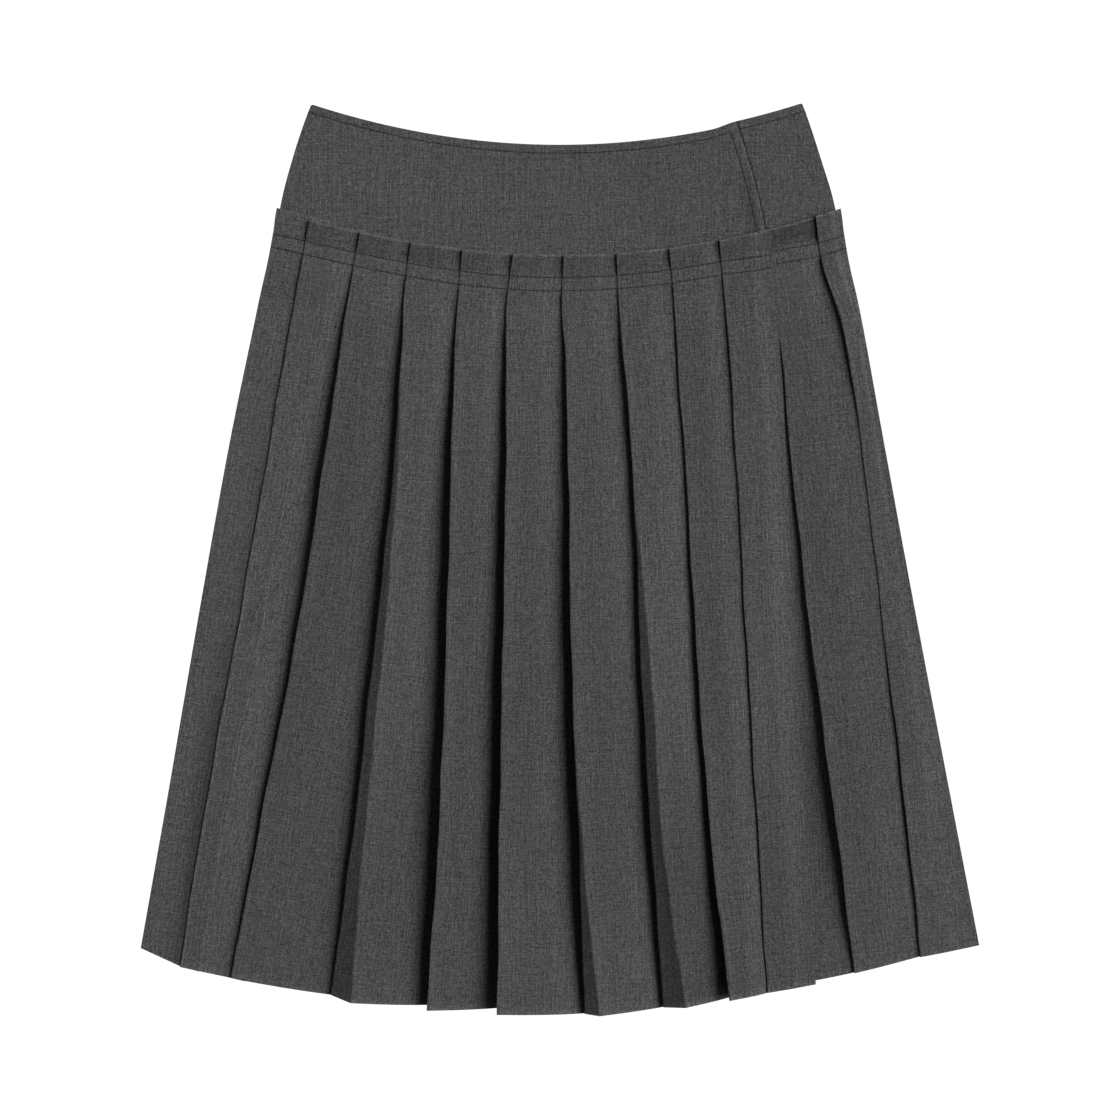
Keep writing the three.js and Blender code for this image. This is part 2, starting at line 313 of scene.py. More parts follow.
# A pleat's cross section, in millimetres.
SHOULDER = 2  # how far past its hidden fold a pleat starts to sink
TOE = 4  # how far before the next crease it has sunk
BACK_RAMP = 12  # the width over which a flat pleat sinks
LEAST_RIDGE = 1.3
RIDGE_SLOPE = 0.58
PAST_RIDGE = 1.6
BEFORE_CREASE = 1.0
CREST_RADIUS = 0.9
FOLD_RADIUS = 0.8
LIFT_REACH = 8
SINKS_LATE = 0.7  # the share of a standing pleat's height that it loses only beside the next crease
WAVE = 0.55  # how high a pleat waves down its length
WAVES = 2.3
WAVES_APART = 0.37
PLEAT_PITCH = 90  # from pleat to pleat on the flat cloth's pattern

BESIDE_STITCHING = np.array([-0.0022, -0.0011, 0, 0.0011, 0.0022])
PLEAT_ROWS = np.concatenate([
    [0, 0.0012], np.linspace(0.004, STITCHED[0] - 0.005, 8), STITCHED[0] + BESIDE_STITCHING,
    np.linspace(STITCHED[0] + 0.005, STITCHED[1] - 0.005, 3), STITCHED[1] + BESIDE_STITCHING,
    np.linspace(STITCHED[1] + 0.005, 0.1, 13)[:-1], np.linspace(0.1, 1, 96),
])
FACE_COLUMNS = 12
CORNER_COLUMNS = 5


def height_of(line, x):
    """A line across the skirt: a parabola in X through its height at the middle."""
    at_middle, rise, half_width = line
    return at_middle + rise * (x / half_width) ** 2


def smoothstep(start, end, at):
    """0 before start, 1 after end, and 3t^2 - 2t^3 between."""
    t = np.clip((at - start) / (end - start), 0, 1)
    return t * t * (3 - 2 * t)


def blend(before, after, share):
    """From before to after in a straight line, as share goes from 0 to 1."""
    return before + (after - before) * share


def follow(levels, values, at):
    """A smooth curve through values at levels: a cubic between each two, with its neighbours' slopes."""
    levels, values = np.asarray(levels, float), np.asarray(values, float)
    slopes = np.gradient(values, levels)
    i = np.clip(np.searchsorted(levels, at, side="right") - 1, 0, len(levels) - 2)
    width = levels[i + 1] - levels[i]
    t = (at - levels[i]) / width
    rise = values[i + 1] - values[i]
    bend = (slopes[i] * width - rise) * (1 - t) - (slopes[i + 1] * width - rise) * t
    return values[i] + t * rise + t * (1 - t) * bend


def band(start, held, let_go, end, level):
    """0 before start, 1 from held to let_go, and 0 after end."""
    return smoothstep(start, held, level) * (1 - smoothstep(let_go, end, level))


def pleat_y(x, level):
    """Height on the plan of a point of the pleats, from the heading's line to the hem's. The rows of
    stitching leave that by a fourth power of X, so that they curve up less towards both sides."""
    out = (x / HEADING[2]) ** 2
    flatter = ROWS_FLATTER * out * (out - ROWS_CROSS) * band(*STITCHED_BAND, level)
    return blend(height_of(HEADING, x), height_of(HEM, x), level) - flatter


def near_hem(level):
    """0 down to the lowest third, and a square law from there to 1 at the hem."""
    return np.clip((level - HEM_STARTS) / (1 - HEM_STARTS), 0, None) ** 2


def near_heading(level):
    """1 at the heading's top edge, and a square law to 0 at its first row of stitching."""
    return np.clip(1 - level / STITCHED[0], 0, None) ** 2


def rounded(points, radii):
    """Cross sections as columns. Each corner with a radius becomes a quadratic curve that starts and ends
    the radius away from it, or halfway to its neighbour; points without one stay as they are."""
    columns = []
    for i, (point, radius) in enumerate(zip(points, radii)):
        if not radius:
            columns.append(point)
            continue
        arms = [points[i - 1] - point, points[i + 1] - point]
        lengths = [np.linalg.norm(arm[:, :2], axis=1, keepdims=True) for arm in arms]
        start, end = [arm * np.minimum(radius / np.maximum(length, 1e-6), 0.5)
                      for arm, length in zip(arms, lengths)]
        for t in np.linspace(0, 1, CORNER_COLUMNS):
            columns.append(point + start * (1 - t) ** 2 + end * t ** 2)
    return np.stack(columns, axis=1)


def wall_mesh(name, sheet, uv_left, uv_right, thickness, painted_light):
    """A closed wall of cloth around a middle sheet of rows and columns: both its sides lie half the
    thickness out along the sheet's normal, and strips close its four edges. The two UV arrays hold the
    cloth's coordinates at the left and right of each quad, so that they may jump at a fold, and the last
    argument is the painted light and shade at each point of the sheet: how much lighter or darker its colour
    is made there."""
    rows, columns = sheet.shape[:2]
    down = np.gradient(sheet, axis=0)
    across = np.gradient(sheet, axis=1)
    normal = np.cross(down, across)
    normal /= np.maximum(np.linalg.norm(normal, axis=2, keepdims=True), 1e-9)
    upper = (sheet + normal * thickness / 2).reshape(-1, 3)
    lower = (sheet - normal * thickness / 2).reshape(-1, 3)
    index = np.arange(rows * columns).reshape(rows, columns)
    under = index + rows * columns
    uv = np.stack([uv_left[:-1], uv_left[1:], uv_right[1:], uv_right[:-1]], axis=2)

    def quads(a, b, c, d):
        return np.stack([a, b, c, d], axis=-1).reshape(-1, 4)

    faces = [
        quads(index[:-1, :-1], index[1:, :-1], index[1:, 1:], index[:-1, 1:]),
        quads(under[:-1, 1:], under[1:, 1:], under[1:, :-1], under[:-1, :-1]),
        quads(index[0, :-1], index[0, 1:], under[0, 1:], under[0, :-1]),
        quads(index[-1, 1:], index[-1, :-1], under[-1, :-1], under[-1, 1:]),
        quads(index[1:, 0], index[:-1, 0], under[:-1, 0], under[1:, 0]),
        quads(index[:-1, -1], index[1:, -1], under[1:, -1], under[:-1, -1]),
    ]
    uvs = [
        uv.reshape(-1, 4, 2),
        uv[:, :, [3, 2, 1, 0]].reshape(-1, 4, 2),
        uv[0][:, [0, 3, 3, 0]],
        uv[-1][:, [2, 1, 1, 2]],
        uv[:, 0][:, [1, 0, 0, 1]],
        uv[:, -1][:, [3, 2, 2, 3]],
    ]
    piece = mesh_piece(name, np.concatenate([upper, lower]), np.concatenate(faces), np.concatenate(uvs))
    # The painted light and shade go onto the mesh as an attribute of its points.
    attribute = piece.data.attributes.new("painted_light", "FLOAT", "POINT")
    attribute.data.foreach_set("value", np.concatenate([painted_light.ravel(), painted_light.ravel()]).astype(np.float32))
    return piece


def mesh_piece(name, points, faces, uvs=None):
    """A smooth-shaded piece from points in millimetres on the plan, moved under the frame, in metres."""
    mesh = bpy.data.meshes.new(name)
    placed = (points + PLAN_TO_FRAME) / 1000
    mesh.from_pydata(placed, [], faces.tolist())
    if uvs is not None:
        layer = mesh.uv_layers.new(name="cloth")
        layer.data.foreach_set("uv", (uvs / 1000).astype(np.float32).ravel())
    mesh.polygons.foreach_set("use_smooth", np.ones(len(faces), bool))
    mesh.set_sharp_from_angle(angle=math.radians(60))
    piece = bpy.data.objects.new(name, mesh)
    bpy.context.collection.objects.link(piece)
    return piece


# The plan's origin is moved to the frame's: the hem's left end and the waist's corner give by how much.
WAIST_CORNER = -187
across_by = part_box("pleats_overlap")[0].x * 1000 - SIDES["left side"][-1]
along_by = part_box("yoke_overlap")[1].y * 1000 - height_of(WAIST, WAIST_CORNER)
PLAN_TO_FRAME = np.array([across_by, along_by, 0.0])


def pleated_sheet(folds, level):
    """The middle sheet of a pleated panel. Each pleat's face leaves its crease, which stands above the
    fold's layers, climbs to its ridge, and sinks, first a little and then mostly under the next crease. It
    stays two layers up until past its own hidden fold, waves slowly down its length, climbs to the lift of
    the next fold, goes on under its crease to the hidden fold and comes back above itself to that crease.
    Also gives the columns of the creases and of the hidden folds."""
    points, radii, crease_at = [], [], []

    def add(x, z, shift, radius=0.0):
        points.append(np.stack([x, z, shift + np.zeros_like(x)], axis=1))
        radii.append(radius)

    first, last = folds[0], folds[-1]
    add(first["crease"], first["low"], first["after"])
    for number, (fold, following) in enumerate(zip(folds[:-1], folds[1:])):
        visible_next = following["crease"]
        width = visible_next - fold["crease"]
        ridge = np.maximum(fold["ridge"], LEAST_RIDGE)
        shoulder = fold["crease"] + np.maximum(fold["tuck"] + SHOULDER, ridge)
        peak = fold["stand"] + RIDGE_SLOPE * fold["ridge"]

        def height(x):
            s = np.clip((x - fold["crease"]) / width, 0, 1)
            past = np.clip((x - fold["crease"] - ridge) / (width - ridge), 0, 1)
            climb = np.clip((x - fold["crease"]) / ridge, 0, 1)
            if fold["flat"]:
                held = 1 - smoothstep(visible_next - BACK_RAMP, visible_next - TOE, x)
                wave = 0
            else:
                held = 1 - smoothstep(shoulder, visible_next - TOE, x)
                turn = 2 * np.pi * (WAVES * level + WAVES_APART * number)
                wave = WAVE * fold["loose"] * np.sin(np.pi * s) * np.sin(turn)
            sunk = SINKS_LATE * (1 - past ** 3) + (1 - SINKS_LATE) * (1 - past) ** 5
            standing = blend(fold["stand"], peak, climb) * sunk
            lifted = fold["lift"] * (1 - s) ** 2
            lifted = lifted + following["lift"] * np.exp((x - visible_next) / LIFT_REACH)
            ground = blend(fold["low"], following["low"], s)
            return ground + fold["layers"] * LAYER * held + standing + lifted + wave

        def shift(x):
            return blend(fold["after"], following["before"], (x - fold["crease"]) / width)

        crest = fold["crease"] + ridge
        add(crest, height(crest), shift(crest), CREST_RADIUS)
        for step in np.linspace(0, 1, FACE_COLUMNS):
            x = blend(crest + PAST_RIDGE, visible_next - BEFORE_CREASE, step)
            add(x, height(x), shift(x))
        low = following["low"] + following["lift"]
        if following is last:
            add(last["crease"], low, last["before"])
            break
        layer = following["layers"] * LAYER / 2
        top = low + 2 * layer + following["stand"]
        hidden = following["crease"] + following["tuck"]
        add(hidden, low, following["before"], FOLD_RADIUS)
        add(hidden, low + layer, following["before"], FOLD_RADIUS)
        add(blend(hidden, visible_next, 0.5), blend(low + layer, top - layer, 0.5), following["before"])
        add(visible_next, top - layer, following["at"], FOLD_RADIUS)
        crease_at.append(len(radii))
        add(visible_next, top, following["at"], FOLD_RADIUS)
    x, z, shift_y = np.moveaxis(rounded(points, radii), 2, 0)
    sheet = np.stack([x, pleat_y(x, level[:, None]) + shift_y, z], axis=2)
    first_column = np.cumsum([0] + [CORNER_COLUMNS if radius else 1 for radius in radii])
    creases = first_column[crease_at]
    hidden_folds = first_column[np.array(crease_at) - 3]
    return sheet, creases, hidden_folds


def in_groove(away):
    """1 on a row of stitching, and a bell curve to 0 a millimetre away from it."""
    return np.exp(-(away / GROOVE_WIDTH) ** 2)


def stitched_in(sheet, level):
    """The groove that both rows of stitching pull into a pleated sheet: 1 along them."""
    fall = np.abs(np.gradient(sheet[:, 0, 1], level))
    return sum(in_groove((level - at) * fall) for at in STITCHED)[:, None] + np.zeros(sheet.shape[:2])


def pleat_painted_light(sheet, creases, folded, folds, level):
    """The painted light and shade in a pleated sheet's colour: each pleat takes its fold's painted tone, its
    creases, its heading's edge and its hem are painted lighter as highlights (the creases partly the paler
    wear of pressing), and its rows of stitching painted darker as the shade of their groove."""
    owner = np.searchsorted(folded, np.arange(sheet.shape[1]), side="right")
    # Each pleat's own painted tone, lighter or darker.
    painted_light = np.stack([fold["painted_light"] for fold in folds[:-1]], axis=1)[:, owner]
    # Painted highlight along each crease, partly the paler wear of pressing.
    for crease in creases:
        painted_light[:, crease:crease + CORNER_COLUMNS] = CREASE_HIGHLIGHT_AND_WEAR
    # Painted highlights along the heading's cut edge and along the hem.
    painted_light[:2] = HEADING_EDGE_HIGHLIGHT
    painted_light[-1] = CREASE_HIGHLIGHT_AND_WEAR
    # Painted shade in the stitching's groove.
    return painted_light - STITCH_PAINTED_SHADE * stitched_in(sheet, level)


def cloth_coordinates(sheet, creases, folded):
    """Where each quad's left and right lie on the flat cloth: measured out from the crease that it
    belongs to, square to the crease's run and along it, so that the weave follows each pleat."""
    rows, columns = sheet.shape[:2]
    step = np.diff(sheet, axis=1)
    out = np.concatenate([np.zeros((rows, 1)), np.cumsum(np.hypot(step[..., 0], step[..., 2]), axis=1)], 1)
    starts = np.concatenate([[0], creases])
    owner = np.searchsorted(folded, np.arange(columns - 1), side="right")
    lines = sheet[:, starts]
    run = np.gradient(lines[..., :2], axis=0)
    run /= np.linalg.norm(run, axis=2, keepdims=True)
    fall = np.concatenate([np.zeros((1, len(starts))),
                           np.cumsum(np.linalg.norm(np.diff(lines[..., :2], axis=0), axis=2), axis=0)])
    sides = []
    for side in (0, 1):
        column = np.arange(columns - 1) + side
        away = out[:, column] - out[:, starts][:, owner]
        lifted = sheet[:, column, 1] - lines[..., 1][:, owner]
        sine, cosine = run[..., 0][:, owner], -run[..., 1][:, owner]
        u = away * cosine + lifted * sine + owner * PLEAT_PITCH
        v = -(fall[:, owner] + away * sine - lifted * cosine)
        sides.append(np.stack([u, v], axis=2))
    return sides


def back_fold(crease, tuck, level):
    """A back fold, which lies flat: only its last stretch climbs, onto the next fold."""
    zero = np.zeros_like(crease)
    shorter = BACK_SHORTER * near_hem(level)
    return {
        "crease": crease, "tuck": tuck, "low": zero + CLOTH / 2, "stand": zero, "ridge": zero, "lift": zero,
        "layers": 2, "before": shorter, "at": shorter, "after": shorter, "painted_light": zero, "flat": True,
    }


def turned_over(sheet, stack):
    """A sheet made face up, turned half round about Y and set on the table."""
    return sheet * [-1, 1, -1] + [0, 0, stack]


level = PLEAT_ROWS
back_start = BACK_NARROWER * near_hem(level) - follow(LEVELS, SIDES["right side"], level)
back_end = -BACK_NARROWER * near_hem(level) - follow(LEVELS, SIDES["left side"], level)
back_tuck = blend(*BACK_TUCKS, level)
back_folds = [back_fold(blend(back_start, back_end, i / BACK_PLEATS), back_tuck, level)
              for i in range(BACK_PLEATS + 1)]
back_sheet, back_creases, back_folded = pleated_sheet(back_folds, level)
back_uv = cloth_coordinates(back_sheet, back_creases, back_folded)
back_painted_light = pleat_painted_light(back_sheet, back_creases, back_folded, back_folds, level)
pleats_back = wall_mesh("back_pleats", turned_over(back_sheet, BACK_STACK), *back_uv, CLOTH, back_painted_light)
pleats_back.data.materials.append(suiting)
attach(pleats_back, "root")
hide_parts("pleats_back")


# ---- The front pleats -------------------------------------------------------------------------------
# Two widths of the same cloth. The underlap carries two pleats at the right; the overlap carries nine and
# closes over it. Their creases stand up a little towards the hem, and some open there as soft ridges.
OFF_THE_YOKE = (0.08, 0.13)  # the levels between which the pleats come down from the yokes
CLEAR_OF_THE_LAP = (0.3, 0.42)
FRONT_YOKE = BACK_YOKE + LAYER
FRONT_PLEATS = FRONT_YOKE + LAYER
HIP_TO_HEM = LEVELS[3:]
CREASE_INSET = 1.6  # how far inside its outer edge a crease's middle line lies
WAVERS = [(0.3, 4.7, 0.61), (0.2, 9.1, 0.37)]  # how far, how often and how unlike creases waver
STANDING_PAINTED_SHADE = -0.017  # painted shade: how much darker a pleat's colour is made for each millimetre that it stands
HEADING_SHADE = (0.018, 0.03)  # the levels between which the heading's painted shade fades out
HEM_SHADE = (0.55, 0.9)  # and the hem's painted light and shade fade in

# Line is a fold's crease in X, and stands is how far it stands up, at each of LEVELS. Tucks are its hidden
# depth at the heading and from hip to hem. Ridges, lifts and thick are how far in its ridge lies, how far it
# is lifted and how thick its layers are, from hip to hem. Drops are how much lower the hem is before and
# after it. Resting is how many layers of the other fronts it lies on at the yoke, the hip and below. Step and
# curl shape the heading's edge, row_drop lowers its stitching, and three columns paint light and shade into
# its pleat's colour: shade over the heading, and a lighter or darker tone down the body and at the hem.
PLAIN_FOLD = {
    "tucks": (0, 0, 0, 0, 0), "stands": (0, 0, 0, 0, 0, 0, 0), "ridges": (0, 0, 0, 0), "lifts": (0, 0, 0, 0),
    "thick": (1, 1, 1, 1), "resting": (0, 0, 0), "step": 0, "curl": 0, "row_drop": 0,
    # By default a heading is painted 19 percent darker as shade, and a pleat's body and hem get no painted
    # tone.
    "heading_painted_shade": -0.19, "painted_light": 0, "hem_painted_light": 0,
}
FOLDS = {
    "left side": {"line": SIDES["left side"], "drops": (0, 1), "heading_painted_shade": 0, "painted_light": 0.05},
    "crease 1": {
        "line": [-189, -195, -204, -218, -242, -267, -286], "stands": (.8, 0, 0, 0, 0, 0, 0),
        "tucks": (20, 18, 17, 16, 14), "lifts": (1.6, 3.4, 5, 5.2), "thick": (.75, .66, .6, .6),
        "drops": (5.5, 6), "step": 1.8, "hem_painted_light": -0.09,
    },
    "crease 2": {
        "line": [-151, -157, -165, -177, -199, -226, -247.5], "stands": (.8, 0, 3.1, 6.5, 4.3, 2.7, .6),
        "tucks": (20, 17, 15, 12, 10), "lifts": (0, .5, .5, .5), "drops": (4.5, 4.5), "step": 0.6,
        "heading_painted_shade": -0.23, "painted_light": -0.09,
    },
    "crease 3": {
        "line": [-113, -117.5, -120, -126, -141, -157, -173], "stands": (.8, 0, 4.6, 6.5, 6.2, 4.9, 1.2),
        "tucks": (20, 14, 9, 7, 5), "ridges": (3, 6.7, 8.5, 15), "lifts": (0, 1, 1, 1), "drops": (1.5, 6),
        "step": 0.4, "heading_painted_shade": -0.28, "hem_painted_light": -0.15,
    },
    "crease 4": {
        "line": [-74.5, -77.5, -80.5, -83, -87, -93, -101], "stands": (.8, 0, 3.9, 10.2, 13.1, 14.8, 11.5),
        "tucks": (20, 17, 15, 13, 11), "drops": (-.5, 3), "step": 0.5, "heading_painted_shade": -0.23,
    },
    "crease 5": {
        "line": [-36.5, -41, -41.5, -42, -44.5, -47, -48], "stands": (.8, 0, 4.1, 9.6, 14, 16.4, 16.2),
        "tucks": (20, 17, 15, 13, 11), "drops": (-2, 2), "step": 0.4, "hem_painted_light": 0.09,
    },
    "crease 6": {
        "line": [1.5, 0, 3, 5, 7.5, 13.5, 17], "stands": (.8, 0, 4.1, 8, 12.6, 13.8, 5.2),
        "tucks": (20, 16, 12, 9, 7), "ridges": (0, 0, 3, 11), "lifts": (0, 0, 0, .5), "drops": (1, 3.5),
        "step": 0.5,
    },
    "crease 7": {
        "line": [41, 42.5, 47, 53.5, 59.5, 68, 76.5], "stands": (.8, 0, 4.3, 5, 6.3, 8.6, 4.5),
        "tucks": (20, 14, 9, 7, 5), "ridges": (0, 7.1, 8.6, 16.5), "lifts": (0, .5, .5, .5), "drops": (-1, 2),
        "step": 0.4, "hem_painted_light": -0.23,
    },
    "crease 8": {
        "line": [80.5, 83.5, 87, 93, 101.5, 112.5, 125.5], "stands": (.8, 0, 1, 1.6, 5.4, 9, 16.5),
        "tucks": (20, 18, 17, 16, 14), "drops": (-3, -1.5), "resting": (1, 0, 0), "step": 0.5,
        "heading_painted_shade": -0.14, "painted_light": -0.06, "hem_painted_light": 0.05,
    },
    "crease 9": {
        "line": [118, 121, 125.5, 131, 139, 147.5, 154], "stands": (.8, 0, .8, .2, .9, .8, .8),
        "tucks": (20, 18, 17, 16, 15), "drops": (-2.5, -2.5), "resting": (1, 1, 1), "step": 0.4,
        "heading_painted_shade": -0.16, "painted_light": 0.04, "hem_painted_light": -0.15,
    },
    "overlap edge": {
        "line": [158.5, 160.5, 164.5, 169.5, 176.5, 184, 192], "drops": (-2.5, 0), "resting": (1, 3, 1),
        "row_drop": 2.9,
    },
    "underlap edge": {
        "line": [121, 124, 128.5, 134, 142, 150.5, 157], "drops": (0, -5.5), "row_drop": -0.5,
        "hem_painted_light": -0.10,
    },
    "crease 10": {
        "line": [153, 157, 163.5, 171.5, 187, 205.5, 219.5], "stands": (0, 0, 0, 1.3, 5, 8, 1),
        "tucks": (20, 17, 16, 15, 13), "drops": (-5.5, -5), "heading_painted_shade": -0.41, "painted_light": -0.08,
        "hem_painted_light": 0.04,
    },
    "crease 11": {
        "line": [190, 195.5, 210, 223.5, 240.5, 257.5, 269], "stands": (.8, 1.6, 2.6, 0, 0, 2, .6),
        "tucks": (9, 8, 10, 11, 11), "thick": (.72, .72, 1, 1), "drops": (-5.5, -5), "step": -0.2,
        "curl": 1.2, "row_drop": 1.9, "heading_painted_shade": -0.11,
    },
    "right side": {"line": SIDES["right side"], "drops": (-1, 0), "row_drop": 0.5},
}


def front_fold(name, level):
    """A front fold at each level, from its row in the table. Its crease wavers by up to half a
    millimetre: the sum of two sine waves."""
    fold = {**PLAIN_FOLD, **FOLDS[name]}
    number = list(FOLDS).index(name)
    is_edge = name.endswith(("side", "edge"))
    off_yoke = smoothstep(*OFF_THE_YOKE, level)
    at_hip = np.maximum(level, LEVELS[1])
    below_hip = np.maximum(level, LEVELS[2])
    waver = off_yoke * sum(by * np.sin(2 * np.pi * (often * level + apart * number))
                           for by, often, apart in WAVERS)
    yoke_rest, hip_rest, low_rest = fold["resting"]
    resting = yoke_rest * (1 - off_yoke) + blend(hip_rest, low_rest, smoothstep(*CLEAR_OF_THE_LAP, level))
    stand = np.maximum(0, follow(LEVELS, fold["stands"], level))
    thick = follow([LEVELS[1]] + HIP_TO_HEM, (1,) + fold["thick"], at_hip)
    pressed = band(*PRESSED_BAND, level)
    step = fold["step"] * near_heading(level)
    row_drop = fold["row_drop"] * band(*STITCHED_BAND, level)
    before, after = [drop * near_hem(level) + row_drop for drop in fold["drops"]]
    lift = np.maximum(0, follow([LEVELS[1]] + HIP_TO_HEM, (0,) + fold["lifts"], at_hip))
    return {
        "crease": follow(LEVELS, fold["line"], level) + (0 if is_edge else CREASE_INSET + waver),
        "tuck": follow([LEVELS[0]] + HIP_TO_HEM, fold["tucks"], level),
        "low": blend(FRONT_PLEATS, BACK_YOKE, off_yoke) + CLOTH / 2 + LAYER * resting,
        "stand": stand * (1 - pressed),
        "ridge": np.maximum(0, follow([LEVELS[2]] + HIP_TO_HEM, (0,) + fold["ridges"], below_hip)),
        "lift": lift + fold["curl"] * near_heading(level),
        "layers": 0 * level if is_edge else 2 * thick * (1 - PRESSED * pressed),
        "before": step - before,
        "at": -step - (before if fold["ridges"][-1] else after),
        "after": -step - after,
        # Painted light and shade in the pleat's colour: darker the more it stands, with its own tone down the
        # body, over the heading and at the hem.
        "painted_light": (STANDING_PAINTED_SHADE * stand + fold["painted_light"]) * off_yoke
                + fold["heading_painted_shade"] * (1 - smoothstep(*HEADING_SHADE, level))
                + fold["hem_painted_light"] * smoothstep(*HEM_SHADE, level),
        "loose": smoothstep(*CLEAR_OF_THE_LAP, level), "flat": False,
    }


def front_pleats(piece_name, node, fold_names):
    """One front panel of pleats through the named folds, from one edge to the other."""
    folds = [front_fold(name, level) for name in fold_names]
    sheet, creases, folded = pleated_sheet(folds, level)
    sheet[..., 2] -= GROOVE * stitched_in(sheet, level)
    uv = cloth_coordinates(sheet, creases, folded)
    piece = wall_mesh(piece_name, sheet, *uv, CLOTH, pleat_painted_light(sheet, creases, folded, folds, level))
    piece.data.materials.append(suiting)
    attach(piece, "root")
    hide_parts(node)
    return piece, sheet


underlap_names = ["underlap edge", "crease 10", "crease 11", "right side"]
pleats_underlap, underlap_sheet = front_pleats("underlap_pleats", "pleats_underlap", underlap_names)
overlap_names = ["left side"] + ["crease " + str(n) for n in range(1, 10)] + ["overlap edge"]
pleats_overlap, overlap_sheet = front_pleats("overlap_pleats", "pleats_overlap", overlap_names)


# ---- The yokes --------------------------------------------------------------------------------------
# Smooth shaped yokes of one layer of the cloth, faced and edge-stitched at the waist, which end under the
# pleats. The overlap's yoke wraps over the underlap's, its free edge curving down to the heading.
YOKE_LEVELS = [0, 0.345, 0.69, 1]
YOKE_EDGES = {
    "left side": [-187, -199.5, -209.5, -213.5],
    "overlap edge": [132.5, 144.5, 153.5, 156],
    "underlap edge": [70.5, 82.5, 91.5, 94],
    "right side": [182.5, 195, 206.5, 211],
}
YOKE_END = 0.065  # the level of the pleats at which the yokes end under them
YOKE_HEIGHT = 121
WAIST_RISE = (113, 133, 2.3)  # from and to which X the waist rises towards its right end, and by how much
ONTO_THE_HEADING = (0.05, 0.66)
CLIMBS = [(76, 66, LAYER, False), (45, 35, LAYER, True), (12, 3, FOLD, True)]
CORNER = 2.6  # radius of the waist's corners
CORNER_FADES = 12
EDGE_COLUMNS = np.array([0, 0.3, 0.6, 1, 1.5, 2.1, 2.8, 3.6])
FOLDED_EDGE = 0.22  # how far the overlap's folded edge rolls down
FOLDED_WIDTH = 0.7
# Painted highlight: how much lighter the colour is made along the overlap's folded edge.
FOLDED_EDGE_HIGHLIGHT = 0.12
# Painted highlight: how much lighter the colour is made along the waist's edge.
WAIST_EDGE_HIGHLIGHT = 0.25
DENT = 0.5  # how deep that edge presses into the underlap
DENT_WIDTH = 0.9
# Painted shade: how much darker the colour is made in the dent beside the overlap's edge.
DENT_PAINTED_SHADE = 0.65
WAIST_STITCH = 6.4  # how far the waist's row of stitching lies from its edge
EDGE_STITCH = 6.5  # and the overlap's row from its folded edge
TURN_OF_STITCHING = 0.3
BESIDE_ROW = np.array([-1.2, -0.6, 0, 0.6, 1.2])
YOKE_ROWS = np.concatenate([
    [0, 0.004, 0.01, 0.018, 0.028], (WAIST_STITCH + BESIDE_ROW) / YOKE_HEIGHT, np.linspace(0.08, 1, 54),
])


def side_of_yoke(name):
    """A side of a yoke: its X at each row."""
    return follow(YOKE_LEVELS, YOKE_EDGES[name], YOKE_ROWS)[:, None]


def waist_to_end(x):
    """The heights on the plan of a yoke's top edge and of its lower edge, which the pleats hide."""
    start, end, rise = WAIST_RISE
    top_edge = height_of(WAIST, x) + rise * smoothstep(start, end, x)
    return top_edge, blend(height_of(HEADING, x), height_of(HEM, x), YOKE_END)


def yoke(piece_name, node, x, underside, climbs=(), folded_edge=False, dent_at=None):
    """One yoke, a sheet of rows from the waist's line to its lower edge and of columns at each X. Its top
    corners are rounded off, and it rises from the table onto the back heading and over what lies beneath
    it. A folded right edge rolls down and is stitched, and leaves a dent in the yoke below it."""
    t = YOKE_ROWS[:, None]
    left, right = x[:, :1], x[:, -1:]
    from_corner = np.clip(1 - np.minimum(x - left, right - x) / CORNER, 0, 1)
    corner = CORNER * (1 - np.sqrt(1 - from_corner ** 2)) * (1 - t) ** CORNER_FADES
    top_edge, lower_edge = waist_to_end(x)
    y = blend(top_edge, lower_edge, t) - corner
    raised = smoothstep(*ONTO_THE_HEADING, t)
    z = underside - BACK_YOKE * (1 - raised) + CLOTH / 2 + np.zeros_like(x)
    for start, end, height, under_heading in climbs:
        climbed = np.clip((x - right + start) / (start - end), 0, 1) * height
        z = z + climbed * (raised if under_heading else 1)
    stitched = in_groove(t * YOKE_HEIGHT - WAIST_STITCH) + np.zeros_like(x)
    painted_light = np.zeros(x.shape)
    # Painted highlight along the waist's edge.
    painted_light[0] = WAIST_EDGE_HIGHLIGHT
    if folded_edge:
        stitched = np.where(right - x < EDGE_STITCH - TURN_OF_STITCHING, 0, stitched)
        below_corner = t * YOKE_HEIGHT > WAIST_STITCH - TURN_OF_STITCHING
        stitched = np.maximum(stitched, in_groove(right - x - EDGE_STITCH) * below_corner)
        z = z - FOLDED_EDGE * np.exp(-((x - right) / FOLDED_WIDTH) ** 2)
        # Painted highlight along the folded edge.
        painted_light[:, -4:] = FOLDED_EDGE_HIGHLIGHT
    if dent_at is not None:
        dented = np.exp(-((x - dent_at) / DENT_WIDTH) ** 2)
        z = z - DENT * dented
        # Painted shade in the dent.
        painted_light = painted_light - DENT_PAINTED_SHADE * dented
    z = z - GROOVE * stitched
    # Painted shade in the stitching's groove.
    painted_light = painted_light - STITCH_PAINTED_SHADE * stitched
    sheet = np.stack([x, y, z], axis=2)
    uv = sheet[..., :2]
    piece = wall_mesh(piece_name, sheet, uv[:, :-1], uv[:, 1:], CLOTH, painted_light)
    piece.data.materials.append(suiting)
    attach(piece, "root")
    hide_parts(node)
    return piece, sheet


